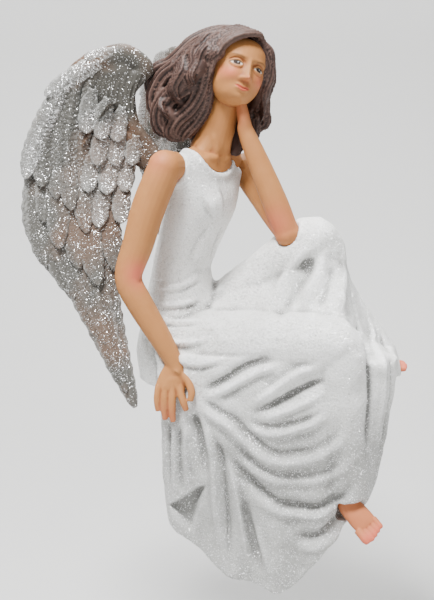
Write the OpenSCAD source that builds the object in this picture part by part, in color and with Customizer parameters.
// Shelf-sitting angel figurine, assembled from painted resin castings on steel dowels.
// Millimetres. Origin: centre of the felt pad's underside. +Z up, +X along the shelf edge,
// +Y into the shelf, so the skirt hangs in front of the edge on the -Y side.

/* [Seat] */
// Distance from the pad centre to the shelf's front edge
edge_reach = 20; // [18:1:24]
// Thickness of the felt pad
pad_t = 1.2; // [0.8:0.1:2]
// Diameter of the felt pad
pad_d = 18; // [14:1:20]
// Gap between the hanging skirt and the shelf's front
edge_gap = 0.5; // [0.3:0.1:1.5]

/* [Body] */
// Height of the shoulder line above the shelf
shoulder_z = 79; // [70:1:95]
// Distance between the shoulder joints
shoulder_w = 43; // [36:1:50]
// Half width of the waist
waist_half_w = 12; // [10:0.5:15]
// Half width of the hips
hip_half_w = 20; // [17:0.5:24]
// Way the chest faces, in degrees from +X toward -Y
chest_turn = 40; // [30:1:50]
// Way the hips face, in degrees from +X toward -Y
hip_turn = 29; // [20:1:40]

/* [Legs] */
// Hip joint to knee
thigh_len = 62; // [54:1:72]
// Rise of the left thigh above level, in degrees
left_thigh_rise = 42; // [34:1:46]
// Right knee to ankle
calf_len = 60; // [52:1:70]
// Radius of the clothed knee
knee_r = 9.5; // [8:0.5:11]

/* [Skirt] */
// Depth of the hem's lowest point below the shelf
skirt_drop = 69; // [58:1:84]
// Depth of the hanging pleats
pleat_depth = 1.8; // [0.5:0.1:3]
// Number of hanging pleats
pleats = 6; // [4:1:8]

/* [Arms] */
// Shoulder to elbow
upper_arm_len = 40; // [34:1:46]
// Elbow to wrist
forearm_len = 35; // [30:1:40]
// Radius of the upper arm
arm_r = 5.4; // [4.5:0.1:6.5]
// Radius of the wrist
wrist_r = 3.1; // [2.6:0.1:3.8]
// Wrist to fingertips
hand_len = 21; // [17:0.5:24]

/* [Head] */
// Crown to chin, without the hair
head_h = 26.5; // [23:0.5:32]
// Half width of the head at the temples
head_half_w = 9.9; // [9:0.1:12]
// Height of the head's centre above the shoulder line
head_rise = 33; // [30:0.5:38]
// Sideways tilt of the head in degrees
head_roll = 16; // [8:1:22]
// Lift of the chin in degrees
chin_lift = 16; // [5:1:20]
// Way the face looks, in degrees from -Y toward +X
head_turn = 22; // [10:1:35]
// Radius of the neck
neck_r = 4.9; // [4.2:0.1:6]
// Radius of the scooped neckline
neckline_r = 9.8; // [8.5:0.1:10.5]

/* [Wings] */
// Shoulder line to the top of the wing
wing_rise = 41; // [34:1:48]
// Wing root to the outer edge of the wing
wing_span = 55; // [46:1:62]
// Shoulder line to the lowest feather tip of the right wing, which hangs past the shelf edge
right_wing_drop = 83; // [70:1:88]
// The same on the left wing, which stops above the shelf
left_wing_drop = 74; // [64:1:77]
// Distance between the two wing roots
wing_root_gap = 11; // [9:0.5:14]
// Way the right wing is spread, in degrees from +X
right_wing_turn = 185; // [175:1:195]
// Way the left wing is spread, in degrees from +X
left_wing_turn = 127; // [105:1:135]
// How far the outer edge curls round to the front
wing_cup = 6; // [2:0.5:9]
// Thickness of one feather
feather_t = 2.4; // [1.8:0.1:3.2]
// Number of long flight feathers on a wing
flight_feathers = 9; // [6:1:11]

/* [Fits] */
// Glue gap between castings
glue_gap = 0.15; // [0.1:0.05:0.3]
// Diameter of the dowels in the arms, neck and feet
dowel_d = 2.4; // [1.6:0.1:3]
// Length of the dowels in the arms and neck
dowel_len = 10; // [8:0.5:13]
// Diameter of the wing pegs
peg_d = 3; // [2:0.1:3.6]
// Length of the wing pegs
peg_len = 12; // [9:0.5:13]
// Clearance round a dowel in its bore
bore_gap = 0.1; // [0.05:0.05:0.2]

/* [Hidden] */

skin_tint = "#c9a17c";
dress_tint = "#e6e6e3";
hair_tint = "#5b4a46";
wing_tint = "#93918d";
steel_tint = "#a9abad";
felt_tint = "#4a4a48";

// Directions
chest_front = [cos(chest_turn), -sin(chest_turn), 0];
chest_right = [-sin(chest_turn), -cos(chest_turn), 0];
hip_front = [cos(hip_turn), -sin(hip_turn), 0];
hip_right = [-sin(hip_turn), -cos(hip_turn), 0];
up = [0, 0, 1];

// Joint centres
hip_z = 14;
hips = [-6, -4, hip_z];
spine_top = [1, -8, shoulder_z];
neck_base = spine_top + [2.5, 0, 5];
right_hip = hips + hip_right * 9;
left_hip = hips - hip_right * 9;
right_shoulder = spine_top + chest_right * (shoulder_w / 2) + [0, 0, 1];
left_shoulder = spine_top - chest_right * (shoulder_w / 2) - [0, 0, 2];
right_knee = right_hip + polar(thigh_len, -23, 8);
left_knee = left_hip + polar(thigh_len, -22, left_thigh_rise);
right_ankle = right_knee + polar(calf_len, 20, -85);
left_ankle = [left_knee[0] + 13, left_knee[1] + 15, 9];
right_elbow = right_shoulder + polar(upper_arm_len, 193, -71);
right_wrist = right_elbow + polar(forearm_len, -7, -62);
left_elbow = left_shoulder + polar(upper_arm_len * 0.89, -60, -35);
left_wrist = left_elbow + polar(forearm_len * 1.09, 172, 67);
head_centre = spine_top + [10, -3, head_rise];

// ---- vectors and curves ----
function polar(r, turn, rise) = r * [cos(rise) * cos(turn), cos(rise) * sin(turn), sin(rise)];
function unit(v) = v / norm(v);
function mix(a, b, t) = a + (b - a) * t;
function at(p, a, b) = concat(p, [a, b]);
function place(s) = [s[0], s[1], s[2]];
function curve(s, i, t) =
    let (a = s[max(i - 1, 0)], b = s[i], c = s[i + 1], d = s[min(i + 2, len(s) - 1)])
    0.5 * (2 * b + (c - a) * t + (2 * a - 5 * b + 4 * c - d) * t * t
        + (3 * b - a - 3 * c + d) * t * t * t);
function smooth(s, steps) = [
    for (i = [0 : len(s) - 2]) for (k = [0 : steps - 1]) curve(s, i, k / steps),
    s[len(s) - 1]
];

// One ring of points round a station [x, y, z, half width, half depth]
function ring(s, along, side, sides, grow) =
    let (u = unit(side - (side * along) * along), v = cross(along, u))
    [for (k = [0 : sides - 1])
        place(s) + (s[3] + grow) * cos(360 * k / sides) * u
            + (s[4] + grow) * sin(360 * k / sides) * v];

// Triangles of a closed skin over rings of points
function skin_faces(rings, sides) = concat(
    [[for (k = [0 : sides - 1]) k]],
    [[for (k = [sides - 1 : -1 : 0]) (rings - 1) * sides + k]],
    [for (i = [0 : rings - 2]) for (k = [0 : sides - 1])
        [i * sides + k, (i + 1) * sides + k, i * sides + (k + 1) % sides]],
    [for (i = [0 : rings - 2]) for (k = [0 : sides - 1])
        [i * sides + (k + 1) % sides, (i + 1) * sides + k, (i + 1) * sides + (k + 1) % sides]]
);

// A smooth body swept through its stations; side_a and side_b aim its width at the two ends
module sweep(stations, side_a, side_b, sides = 18, steps = 3, grow = 0) {
    raw = smooth(stations, steps);
    n = len(raw);
    head_along = unit(place(raw[0]) - place(raw[1]));
    tail_along = unit(place(raw[n - 1]) - place(raw[n - 2]));
    s = [for (i = [0 : n - 1])
        i == 0 ? at(place(raw[0]) + head_along * grow, raw[0][3], raw[0][4])
        : i == n - 1 ? at(place(raw[i]) + tail_along * grow, raw[i][3], raw[i][4])
        : raw[i]];
    points = [for (i = [0 : n - 1])
        let (along = unit(place(s[min(i + 1, n - 1)]) - place(s[max(i - 1, 0)])))
        each ring(s[i], along, mix(side_a, side_b, i / (n - 1)), sides, grow)];
    polyhedron(points, skin_faces(n, sides));
}

// Round bar from p to q
module bar(p, q, d, extra = 0) {
    v = q - p;
    translate(p - unit(v) * extra)
        rotate([0, acos(v[2] / norm(v)), atan2(v[1], v[0])])
            cylinder(h = norm(v) + 2 * extra, d = d, $fn = 48);
}

// How far an arm's flat root lies inside the shoulder joint
arm_set_in = 6;

// Dowels: each has a middle point, a direction and a length
neck_axis = unit([0.25, 0, 1]);
neck_mid = neck_base + [-0.5, 0, -2];
right_arm_axis = unit(chest_right + [0, 0, -0.1]);
right_arm_mid = right_shoulder - chest_right * arm_set_in;
left_arm_mid = left_shoulder + chest_right * arm_set_in;
right_foot_axis = unit(right_knee - right_ankle);
right_foot_mid = right_ankle + right_foot_axis * 5;
left_foot_axis = [1, 0.1, 0];
left_foot_mid = left_ankle + [3, 0.5, -4];
wing_axis = [1, 0, 0];
wing_mid = [0, 0, -4.6];
right_wing_root = spine_top - chest_front * 5 + chest_right * wing_root_gap / 2;
left_wing_root = spine_top - chest_front * 5 - chest_right * wing_root_gap / 2;
foot_dowel_len = 8;

module dowel(mid, axis, d, long, gap = 0) {
    half = unit(axis) * long / 2;
    bar(mid - half, mid + half, d + 2 * gap, gap);
}
module neck_rod(gap = 0) dowel(neck_mid, neck_axis, dowel_d, dowel_len, gap);
module right_arm_rod(gap = 0) dowel(right_arm_mid, right_arm_axis, dowel_d, dowel_len, gap);
module left_arm_rod(gap = 0) dowel(left_arm_mid, chest_right, dowel_d, dowel_len, gap);
module right_foot_rod(gap = 0) dowel(right_foot_mid, right_foot_axis, dowel_d, foot_dowel_len, gap);
module left_foot_rod(gap = 0) dowel(left_foot_mid, left_foot_axis, dowel_d, foot_dowel_len, gap);
module wing_rod(gap = 0) dowel(wing_mid, wing_axis, peg_d, peg_len, gap);

// A wing's own axes: +X outward from the root, +Y toward the hollow side, +Z up
module at_right_wing() {
    translate(right_wing_root) rotate([0, 0, right_wing_turn]) children();
}
module at_left_wing() {
    translate(left_wing_root) rotate([0, 0, left_wing_turn]) mirror([0, 1, 0]) children();
}

// ---- body ----
module torso_form(grow = 0) {
    chest = spine_top + [-2.5, 0.5, -12];
    waist = mix(hips, spine_top, 0.45) + [-5.5, 0, 0];
    sweep([
        at(hips + [-1.4, 0.8, -hip_z + 0.4], hip_half_w - 0.5, 16),
        at(hips + [-2, 0, 0], hip_half_w, 15.5),
        at(mix(hips, waist, 0.5) + [-1, 0, 0], waist_half_w + 4, 12.5),
        at(waist, waist_half_w, 9.8),
        at(mix(waist, chest, 0.55), waist_half_w + 1.4, 10.4),
        at(chest + chest_front * 0.6, waist_half_w + 3, 11.4),
        at(spine_top + [-0.6, 0, -4], shoulder_w / 2 - 4, 8.6),
        at(spine_top + [0.8, 0, 1.2], shoulder_w / 2 - 4.6, 6.8),
        at(neck_base + [0, 0, 0.5], neck_r + 1, neck_r + 1)
    ], hip_right, chest_right, 24, 3, grow);
}

// Region of bare skin inside the neckline and round the neck
module neckline_form(grow = 0) {
    translate(spine_top - chest_front * (2 + grow) + [0, 0, 8])
        rotate([0, 0, -chest_turn])
            rotate([0, 90, 0])
                cylinder(h = 30, r = neckline_r + grow, $fn = 40);
}

module left_leg_form(grow = 0) {
    sweep([
        at(left_hip + [-3, -2, 2], 14, 13),
        at(mix(left_hip, left_knee, 0.33), 12.5, 12),
        at(mix(left_hip, left_knee, 0.7), knee_r + 1.6, knee_r + 1),
        at(left_knee + [-3, 0, -2.5], knee_r, knee_r),
        at(left_knee + [2.5, 0.5, -3.5], knee_r - 3, knee_r - 3)
    ], hip_right, hip_right, 18, 3, grow);
    sweep([
        at(left_knee + [-2.5, 0.5, 0.5], knee_r - 3, knee_r - 3),
        at(left_knee + [0, 1, -5], knee_r, knee_r - 0.5),
        at(mix(left_knee, left_ankle, 0.35) + [-4, -1, 0], knee_r + 1.5, knee_r),
        at(mix(left_knee, left_ankle, 0.7) + [-3.5, -2, 0], knee_r + 4, knee_r + 1.5),
        at(left_ankle + [2.5, -4, -3], knee_r + 6, knee_r + 3.5),
        at(left_ankle + [3.5, -6, -8.6], knee_r + 6, knee_r + 3.5)
    ], [-0.4, -1, 0], [-1, 0.1, 0], 18, 3, grow);
}

module right_leg_form(grow = 0) {
    sweep([
        at(right_hip, 14, 13),
        at(mix(right_hip, right_knee, 0.35), 13.5, 12.5),
        at(mix(right_hip, right_knee, 0.7), 11.5, 11),
        at(right_knee + [-2, 0, -1.5], knee_r + 0.5, knee_r + 0.5),
        at(right_knee + [3.5, -1, -3.5], knee_r - 2.5, knee_r - 2.5)
    ], hip_right, hip_right, 18, 3, grow);
    sweep([
        at(right_knee + [-1.5, 0, 1], knee_r - 2, knee_r - 2),
        at(right_knee + [1, 0, -5], knee_r + 0.5, knee_r - 0.5),
        at(mix(right_knee, right_ankle, 0.4), knee_r, knee_r - 1),
        at(mix(right_knee, right_ankle, 0.75), knee_r - 1, knee_r - 2),
        at(right_ankle + [0.3, 0, 2.5], knee_r - 2, knee_r - 3)
    ], [-1, 0, 0], [-1, 0, 0], 18, 3, grow);
}

// Cloth stretched over the lap, between the two thighs and down to the seat
module lap_form() {
    hull() {
        for (p = [
            left_hip + [8, -4, 0], mix(left_hip, left_knee, 0.8) + [0, 0, -3],
            left_knee + [0, 0, -8], left_ankle + [5, -6, -3], right_knee + [-2, 3, -3],
            right_hip + [2, 2, -1], mix(right_hip, right_knee, 0.5), right_hip + [0, 8, -4]
        ])
            translate(p) sphere(r = 7, $fn = 24);
    }
}

// Hanging cloth: each column is [x at the top, x at the hem, hem depth as a share of the drop,
// front reach at the top, front reach at the hem], from the figure's right to its left
drape_columns = [
    [-17, -14, 0.10, 7, 6],
    [-15, -13.5, 0.63, 9, 8],
    [-6, -4, 0.78, 12, 12],
    [6, 9, 0.93, 15, 15],
    [18, 20, 0.98, 17, 17],
    [30, 30.5, 1.00, 20, 18],
    [42, 41, 0.82, 23, 18],
    [56, 52, 0.62, 21, 16],
    [65, 60, 0.50, 13, 11],
    [70, 62, 0.46, 6, 6]
];
drape_top = 16;
// How far the hanging cloth reaches back over the seat, under the lap
drape_reach_back = 9;

module drape_form() {
    cols = smooth(drape_columns, 4);
    rows = 10;
    n = len(cols);
    function hang(c, w, reach) = let (x = mix(c[0], c[1], w))
        [x, -edge_reach - reach, mix(drape_top, -skirt_drop * c[2], w)];
    front = [for (i = [0 : n - 1]) for (k = [0 : rows])
        let (w = k / rows, c = cols[i], fold = cos(360 * pleats * i / (n - 1)))
        hang(c, w, mix(c[3], c[4], w) + pleat_depth * w * fold)];
    back = [for (i = [0 : n - 1]) for (k = [0 : rows]) hang(cols[i], k / rows, -drape_reach_back)];
    m = rows + 1;
    total = n * m;
    function quad(a, b, c, d) = [[a, b, c], [a, c, d]];
    faces = concat(
        [for (i = [0 : n - 2]) for (k = [0 : rows - 1])
            each quad(i * m + k, (i + 1) * m + k, (i + 1) * m + k + 1, i * m + k + 1)],
        [for (i = [0 : n - 2]) for (k = [0 : rows - 1])
            each quad(total + i * m + k, total + i * m + k + 1,
                total + (i + 1) * m + k + 1, total + (i + 1) * m + k)],
        [for (i = [0 : n - 2]) each quad(i * m, total + i * m, total + (i + 1) * m, (i + 1) * m)],
        [for (i = [0 : n - 2]) each quad(i * m + rows, (i + 1) * m + rows,
            total + (i + 1) * m + rows, total + i * m + rows)],
        [for (k = [0 : rows - 1]) each quad(k, k + 1, total + k + 1, total + k)],
        [for (k = [0 : rows - 1]) let (e = (n - 1) * m)
            each quad(e + k, total + e + k, total + e + k + 1, e + k + 1)]
    );
    polyhedron(concat(front, back), faces);
}

// The shelf corner with its gap, and the felt pad's thickness
module shelf_space() {
    translate([-150, -edge_reach - edge_gap, pad_t - 200])
        cube([300, 200, 200]);
}

module dress_casting() {
    color(dress_tint) difference() {
        resize([0, 0, 0]) difference() {
            union() {
                torso_form();
                left_leg_form();
                right_leg_form();
                lap_form();
                drape_form();
            }
            shelf_space();
            neckline_form(glue_gap);
            neck_form(glue_gap);
            right_arm_form(glue_gap);
            left_arm_form(glue_gap);
            right_foot_form(glue_gap);
            left_foot_form(glue_gap);
            at_right_wing() wing_bone_form(glue_gap);
            at_left_wing() wing_bone_form(glue_gap);
        }
        neck_rod(bore_gap);
        right_arm_rod(bore_gap);
        left_arm_rod(bore_gap);
        right_foot_rod(bore_gap);
        left_foot_rod(bore_gap);
        at_right_wing() wing_rod(bore_gap);
        at_left_wing() wing_rod(bore_gap);
    }
}

// ---- arms ----
module hand_form(wrist, palm, tip, width_dir, grow = 0) {
    sweep([
        at(wrist, wrist_r, wrist_r - 0.2),
        at(mix(wrist, palm, 0.55), 3.9, 2.6),
        at(palm, 4.6, 2.3),
        at(mix(palm, tip, 0.6), 3.7, 1.9),
        at(tip, 1.8, 1.2)
    ], width_dir, width_dir, 14, 2, grow);
}

// Ball of the shoulder, with the short root that runs into the body
module shoulder_form(shoulder, root, grow = 0) {
    translate(shoulder) sphere(r = arm_r + 0.9 + grow, $fn = 20);
    sweep([
        at(root, arm_r - 0.6, arm_r - 1),
        at(mix(root, shoulder, 0.5), arm_r, arm_r - 0.2),
        at(mix(root, shoulder, 0.9), arm_r + 0.4, arm_r + 0.4)
    ], up, up, 14, 2, grow);
}

module right_arm_form(grow = 0) {
    palm = right_wrist + [-0.8, -2, -hand_len * 0.45];
    shoulder_form(right_shoulder, right_shoulder - chest_right * arm_set_in, grow);
    sweep([
        at(mix(right_shoulder, right_elbow, 0.02), arm_r + 0.6, arm_r + 0.6),
        at(mix(right_shoulder, right_elbow, 0.36) + [-1, 0, 0], arm_r + 0.3, arm_r + 0.5),
        at(mix(right_shoulder, right_elbow, 0.7) + [-0.5, 0, 0], arm_r - 0.4, arm_r),
        at(right_elbow, arm_r - 0.7, arm_r - 0.6),
        at(mix(right_elbow, right_wrist, 0.3) + [-0.8, 0, 0], arm_r - 0.5, arm_r - 0.8),
        at(mix(right_elbow, right_wrist, 0.7), wrist_r + 1, wrist_r + 0.8),
        at(right_wrist, wrist_r, wrist_r - 0.2)
    ], [0, -1, 0], [0, -1, 0], 16, 2, grow);
    hand_form(right_wrist + [-0.2, 0, 0.6], palm, right_wrist + [-1.4, -2.5, -hand_len],
        [-1, 0, 0], grow);
}

module left_arm_form(grow = 0) {
    palm = left_wrist + [-1.5, 2, hand_len * 0.4];
    shoulder_form(left_shoulder, left_shoulder + chest_right * arm_set_in, grow);
    sweep([
        at(mix(left_shoulder, left_elbow, 0.05), arm_r + 0.4, arm_r + 0.4),
        at(mix(left_shoulder, left_elbow, 0.4), arm_r, arm_r),
        at(mix(left_shoulder, left_elbow, 0.8), arm_r - 0.6, arm_r - 0.6),
        at(left_elbow + [0.3, -0.6, -0.3], arm_r - 1.2, arm_r - 1.2)
    ], up, up, 16, 2, grow);
    translate(left_elbow + [0, 0, -0.4]) sphere(r = arm_r - 0.9 + grow, $fn = 18);
    sweep([
        at(left_elbow + [0, 0, -0.2], arm_r - 1.1, arm_r - 1.1),
        at(mix(left_elbow, left_wrist, 0.3), arm_r - 0.5, arm_r - 0.9),
        at(mix(left_elbow, left_wrist, 0.7), wrist_r + 0.9, wrist_r + 0.7),
        at(left_wrist, wrist_r, wrist_r - 0.2)
    ], [0, -1, 0], [0, -1, 0], 16, 2, grow);
    hand_form(left_wrist + [0.2, 0, -0.6], palm, left_wrist + [-3, 4, hand_len * 0.72],
        [0, -1, 0.2], grow);
}

module right_arm() {
    color(skin_tint) difference() {
        resize([0, 0, 0]) right_arm_form();
        right_arm_rod(bore_gap);
    }
}

module left_arm() {
    color(skin_tint) difference() {
        resize([0, 0, 0]) left_arm_form();
        left_arm_rod(bore_gap);
    }
}

// ---- feet ----
module right_foot_form(grow = 0) {
    sweep([
        at(right_ankle + [-0.4, 0.5, 5], 4.2, 4),
        at(right_ankle, 4.6, 4.4),
        at(right_ankle + [4, -3.5, -4.5], 4.9, 3.8),
        at(right_ankle + [8, -6.5, -8], 4.6, 2.7),
        at(right_ankle + [10.4, -8.2, -9.8], 3.4, 1.7)
    ], [-0.6, -0.8, 0], [-0.6, -0.8, 0], 16, 3, grow);
}

module left_foot_form(grow = 0) {
    difference() {
        sweep([
            at(left_ankle + [3, 0.5, -4], 4.2, 4.4),
            at(left_ankle + [9, 1.2, -4.4], 5, 4),
            at(left_ankle + [15, 2.4, -5.4], 5.2, 3.2),
            at(left_ankle + [19, 3.2, -6.2], 4.6, 2.5),
            at(left_ankle + [21.5, 3.6, -6.8], 3, 1.6)
        ], [0, -1, 0], [0, -1, 0], 16, 3, grow);
        translate([0, -50, glue_gap - grow - 20])
            cube([150, 100, 20]);
    }
}

module right_foot() {
    color(skin_tint) difference() {
        resize([0, 0, 0]) right_foot_form();
        right_foot_rod(bore_gap);
    }
}

module left_foot() {
    color(skin_tint) difference() {
        resize([0, 0, 0]) left_foot_form();
        left_foot_rod(bore_gap);
    }
}

// ---- head and hair ----
module head_place() {
    translate(head_centre)
        rotate([0, head_roll, 0])
            rotate([0, 0, head_turn])
                rotate([-chin_lift, 0, 0])
                    children();
}

// Head in its own axes: face toward -Y, crown toward +Z
module head_form(grow = 0) {
    half = head_h / 2;
    w = head_half_w;
    sweep([
        at([0, -7.2, -half], 2.4, 2),
        at([0, -5.4, -half * 0.86], w * 0.5, 4.6),
        at([0, -3.2, -half * 0.6], w * 0.76, 7.6),
        at([0, -1.4, -half * 0.2], w * 0.93, 10.2),
        at([0, 0, half * 0.2], w, 11.8),
        at([0, 0.4, half * 0.58], w * 0.92, 11),
        at([0, 0.8, half * 0.88], w * 0.58, 7),
        at([0, 1, half], w * 0.12, 1.4)
    ], [1, 0, 0], [1, 0, 0], 20, 3, grow);
    hull() {
        translate([0, -11.4, head_h * 0.06]) sphere(r = 0.8 + grow, $fn = 24);
        translate([0, -13, -head_h * 0.1]) sphere(r = 1.1 + grow, $fn = 24);
        translate([0, -10.4, -head_h * 0.12]) sphere(r = 1.9 + grow, $fn = 24);
    }
}

module neck_form(grow = 0) {
    sweep([
        at(neck_base + [-0.5, 0, -2], neck_r + 1.2, neck_r + 1.2),
        at(neck_base + [0.4, 0, 1.5], neck_r + 0.4, neck_r + 0.4),
        at(mix(neck_base, head_centre, 0.45), neck_r - 0.2, neck_r - 0.2),
        at(mix(neck_base, head_centre, 0.75) + [0, 1, 0], neck_r, neck_r + 1)
    ], [1, 0, 0], [1, 0, 0], 20, 3, grow);
}

module head_casting() {
    color(skin_tint) difference() {
        resize([0, 0, 0]) difference() {
            union() {
                head_place() head_form();
                neck_form();
                intersection() {
                    torso_form();
                    neckline_form();
                }
            }
            right_arm_form(glue_gap);
            left_arm_form(glue_gap);
        }
        neck_rod(bore_gap);
    }
}

// Locks of hair: [way round the head in degrees, start height, swing out, fall, thickness]
// where 0 degrees is the figure's face and the angle runs toward its right ear
locks = [
    [38, 9, 4, 12, 3.6], [62, 9, 9, 20, 4.6], [88, 8, 14, 26, 5.4], [114, 8, 12, 28, 5.4],
    [142, 8, 8, 31, 5.2], [172, 8, 5, 34, 5], [202, 8, 4, 35, 5], [232, 8, 4, 33, 4.8],
    [262, 8, 4, 28, 4.6], [290, 9, 3, 20, 3.8]
];
lock_wave = 2.2;

module lock(l) {
    reach = head_half_w + 0.5;
    out = [-sin(l[0]), -cos(l[0]), 0];
    round_way = [-cos(l[0]), sin(l[0]), 0];
    sweep([
        at(out * (reach * 0.35) + [0, 1, l[1] + 3.5], l[4] * 0.9, l[4] * 0.6),
        at(out * (reach * 0.95) + round_way * lock_wave + [0, 1, l[1] - 1], l[4], l[4] * 0.8),
        at(out * (reach + l[2] * 0.4) - round_way * lock_wave + [0, 1, l[1] - l[3] * 0.35],
            l[4] * 1.05, l[4] * 0.85),
        at(out * (reach + l[2] * 0.8) + round_way * lock_wave + [0, 1, l[1] - l[3] * 0.7],
            l[4] * 0.95, l[4] * 0.75),
        at(out * (reach + l[2]) - round_way * lock_wave * 0.5 + [0, 1, l[1] - l[3]],
            l[4] * 0.3, l[4] * 0.25)
    ], round_way, round_way, 9, 3);
}

module hair_casting() {
    color(hair_tint) resize([0, 0, 0]) difference() {
        head_place() union() {
            intersection() {
                translate([0, 1.2, 0.8]) head_form(2.4);
                translate([-40, -6, -6]) cube([80, 60, 60]);
            }
            for (l = locks)
                lock(l);
        }
        head_place() head_form(glue_gap);
        neck_form(glue_gap);
        torso_form(glue_gap);
        right_arm_form(glue_gap);
        left_arm_form(glue_gap);
    }
}

// ---- wings ----
// A point on the wing's hollow face, x outward and z above the shoulder line
function sheet(x, z, lift = 0) =
    [x, 0.2 * max(0, -z) + wing_cup * pow(x / wing_span, 2) + lift, z];

// Bone from inside the back to the curled tip of the leading edge, then the outer arch
module wing_bone_form(grow = 0) {
    w = wing_span / 55;
    h = wing_rise / 41;
    sweep([
        at(wing_mid, 4.2, 3.2),
        at(sheet(8 * w, -2), 5, 3.6),
        at(sheet(16 * w, 7 * h), 5, 3.6),
        at(sheet(21 * w, 16 * h), 4.4, 3.4),
        at(sheet(21 * w, 27 * h), 3.8, 3),
        at(sheet(16.5 * w, 34 * h), 3, 2.6)
    ], [0, 0, 1], [-1, 0, 0.3], 12, 3, grow);
}

module wing_arch_form() {
    sweep([
        at(sheet(wing_span * 0.34, wing_rise * 0.74), 2.2, 1.7),
        at(sheet(wing_span * 0.44, wing_rise - 4), 3.8, 3),
        at(sheet(wing_span * 0.66, wing_rise - 8), 4, 3),
        at(sheet(wing_span * 0.82, wing_rise * 0.5), 3.8, 2.8),
        at(sheet(wing_span * 0.92, wing_rise * 0.15), 3.2, 2.4),
        at(sheet(wing_span * 0.94, -wing_rise * 0.25), 1.6, 1.4)
    ], [-0.5, 0, 1], [1, 0, 0.3], 12, 3);
}

// One feather from root to tip, bowed outward
module feather(root, tip, w, bow, lift) {
    mid = mix(root, tip, 0.5) + [bow, 0, 0];
    raise = [0, lift, 0];
    sweep([
        at(root + raise, w * 0.6, feather_t * 0.5),
        at(mix(root, mid, 0.55) + raise, w, feather_t * 0.6),
        at(mid + raise, w, feather_t * 0.55),
        at(mix(mid, tip, 0.6) + raise, w * 0.85, feather_t * 0.5),
        at(tip + raise, w * 0.25, feather_t * 0.3)
    ], [1, 0.13, 0.3], [1, 0.05, 0.36], 8, 2);
}

module wing_form(drop) {
    wing_bone_form();
    wing_arch_form();
    for (i = [0 : flight_feathers - 1]) {
        t = i / (flight_feathers - 1);
        root = sheet(wing_span * mix(0.4, 0.86, t), mix(wing_rise - 14, wing_rise * 0.45, t));
        tip = sheet(mix(19, wing_span + 0.5, pow(t, 0.85)), mix(-drop, -24, pow(t, 0.85)));
        feather(root, tip, mix(4.6, 5.2, t), mix(7, 3.5, t), 0.5 * (i % 2));
    }
    for (i = [0 : 4]) {
        t = i / 4;
        root = sheet(wing_span * mix(0.44, 0.86, t), wing_rise * mix(0.7, 0.5, t));
        tip = sheet(wing_span * mix(0.5, 0.95, t), mix(-30, -8, t));
        feather(root, tip, 5.4, 2, 1.7 + 0.45 * (i % 2));
    }
    for (i = [0 : 3]) {
        t = i / 3;
        root = sheet(wing_span * mix(0.4, 0.8, t), wing_rise * mix(0.86, 0.62, t));
        tip = sheet(wing_span * mix(0.46, 0.95, t), wing_rise * mix(0.16, 0.1, t));
        feather(root, tip, 5.3, 1, 2.6 + 0.4 * (i % 2));
    }
}

module wing_casting(drop) {
    resize([0, 0, 0]) wing_form(drop);
}

module right_wing() {
    color(wing_tint) difference() {
        at_right_wing() wing_casting(right_wing_drop);
        at_right_wing() wing_rod(bore_gap);
    }
}

module left_wing() {
    color(wing_tint) difference() {
        at_left_wing() wing_casting(left_wing_drop);
        at_left_wing() wing_rod(bore_gap);
    }
}

// ---- dowels and pad ----
module right_wing_peg() color(steel_tint) at_right_wing() wing_rod();
module left_wing_peg() color(steel_tint) at_left_wing() wing_rod();
module neck_dowel() color(steel_tint) neck_rod();
module right_arm_dowel() color(steel_tint) right_arm_rod();
module left_arm_dowel() color(steel_tint) left_arm_rod();
module right_foot_dowel() color(steel_tint) right_foot_rod();
module left_foot_dowel() color(steel_tint) left_foot_rod();
module seat_pad() color(felt_tint) cylinder(h = pad_t, d = pad_d, $fn = 64);

dress_casting();
head_casting();
hair_casting();
right_arm();
left_arm();
right_foot();
left_foot();
right_wing();
left_wing();
right_wing_peg();
left_wing_peg();
neck_dowel();
right_arm_dowel();
left_arm_dowel();
right_foot_dowel();
left_foot_dowel();
seat_pad();
